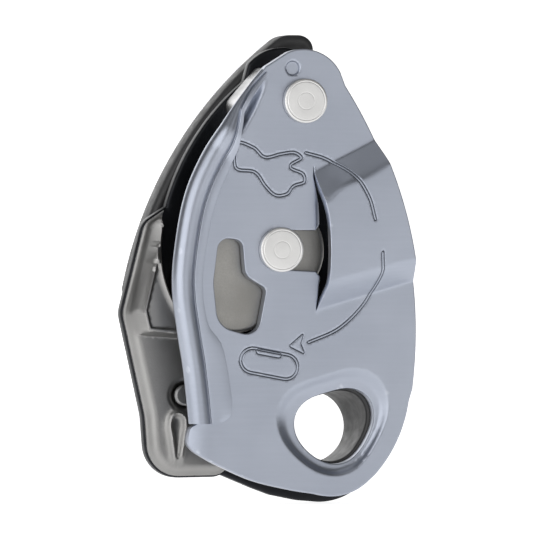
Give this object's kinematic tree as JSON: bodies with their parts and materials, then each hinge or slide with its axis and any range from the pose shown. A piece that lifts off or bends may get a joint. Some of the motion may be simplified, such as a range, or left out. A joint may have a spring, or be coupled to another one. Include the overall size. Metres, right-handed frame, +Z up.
{
  "type": "belay device",
  "caption": "Assisted-braking belay device with a swinging front plate, a sprung cam that grips the rope, a stainless friction plate and a release handle on the back.",
  "frame": {"origin": "centre of the carabiner eye, half way across the rope channel", "axes": "+Z up from the eye to the pivot end, -Y towards the moving front plate, +X towards the open side of the axle slot"},
  "size_m": [0.0612, 0.035, 0.1008],
  "materials": {
    "satin_aluminium": "blue-grey anodised, fine satin",
    "black_aluminium": "black anodised, satin",
    "stainless": "blasted stainless sheet",
    "rivet_steel": "turned stainless, satin",
    "turned_steel": "turned",
    "spring_steel": "drawn wire",
    "cam_steel": "cast stainless, brushed sides",
    "bronze": "sintered bronze, matt",
    "black_nylon": "moulded glass-filled nylon, fine grain"
  },
  "bodies": {
    "back_frame": {"fixed_side_plate": "black_aluminium", "eye_collar": "black_nylon", "friction_plate": "stainless", "friction_plate_rivets": "rivet_steel", "brake_shoe": "stainless", "brake_shoe_rivets": "rivet_steel", "upper_pivot_rivet": "rivet_steel", "pivot_bush": "turned_steel", "plate_wave_washer": "spring_steel", "pivot_tail_washer": "turned_steel", "cam_axle": "rivet_steel", "cam_thrust_washer": "bronze", "cam_stop_pin": "turned_steel", "cam_spring": "spring_steel", "handle_thrust_washer": "bronze", "axle_tail_washer": "turned_steel", "handle_spring": "spring_steel"},
    "side_plate": {"moving_side_plate": "satin_aluminium"},
    "cam_body": {"cam": "cam_steel", "cam_bush": "bronze", "cam_drive_pin": "turned_steel"},
    "handle_body": {"handle_lever": "stainless", "handle_bush": "bronze", "handle_grip": "black_nylon", "handle_rivets": "rivet_steel", "hub_cap": "black_nylon"}
  },
  "joints": [
    {"name": "plate_swing", "type": "hinge", "parent": "back_frame", "child": "side_plate", "pos_m": [-0.0066, 0, 0.0696], "axis": [0, 1, 0], "range_deg": [0, 100]},
    {"name": "cam_turn", "type": "hinge", "parent": "back_frame", "child": "cam_body", "pos_m": [-0.0119, 0, 0.0379], "axis": [0, 1, 0], "range_deg": [0, 60], "stiffness_Nm_per_rad": 0.03, "springref_deg": -20.05},
    {"name": "handle_turn", "type": "hinge", "parent": "back_frame", "child": "handle_body", "pos_m": [-0.0119, 0, 0.0379], "axis": [0, -1, 0], "range_deg": [0, 110], "stiffness_Nm_per_rad": 0.02, "springref_deg": -28.65}
  ]
}
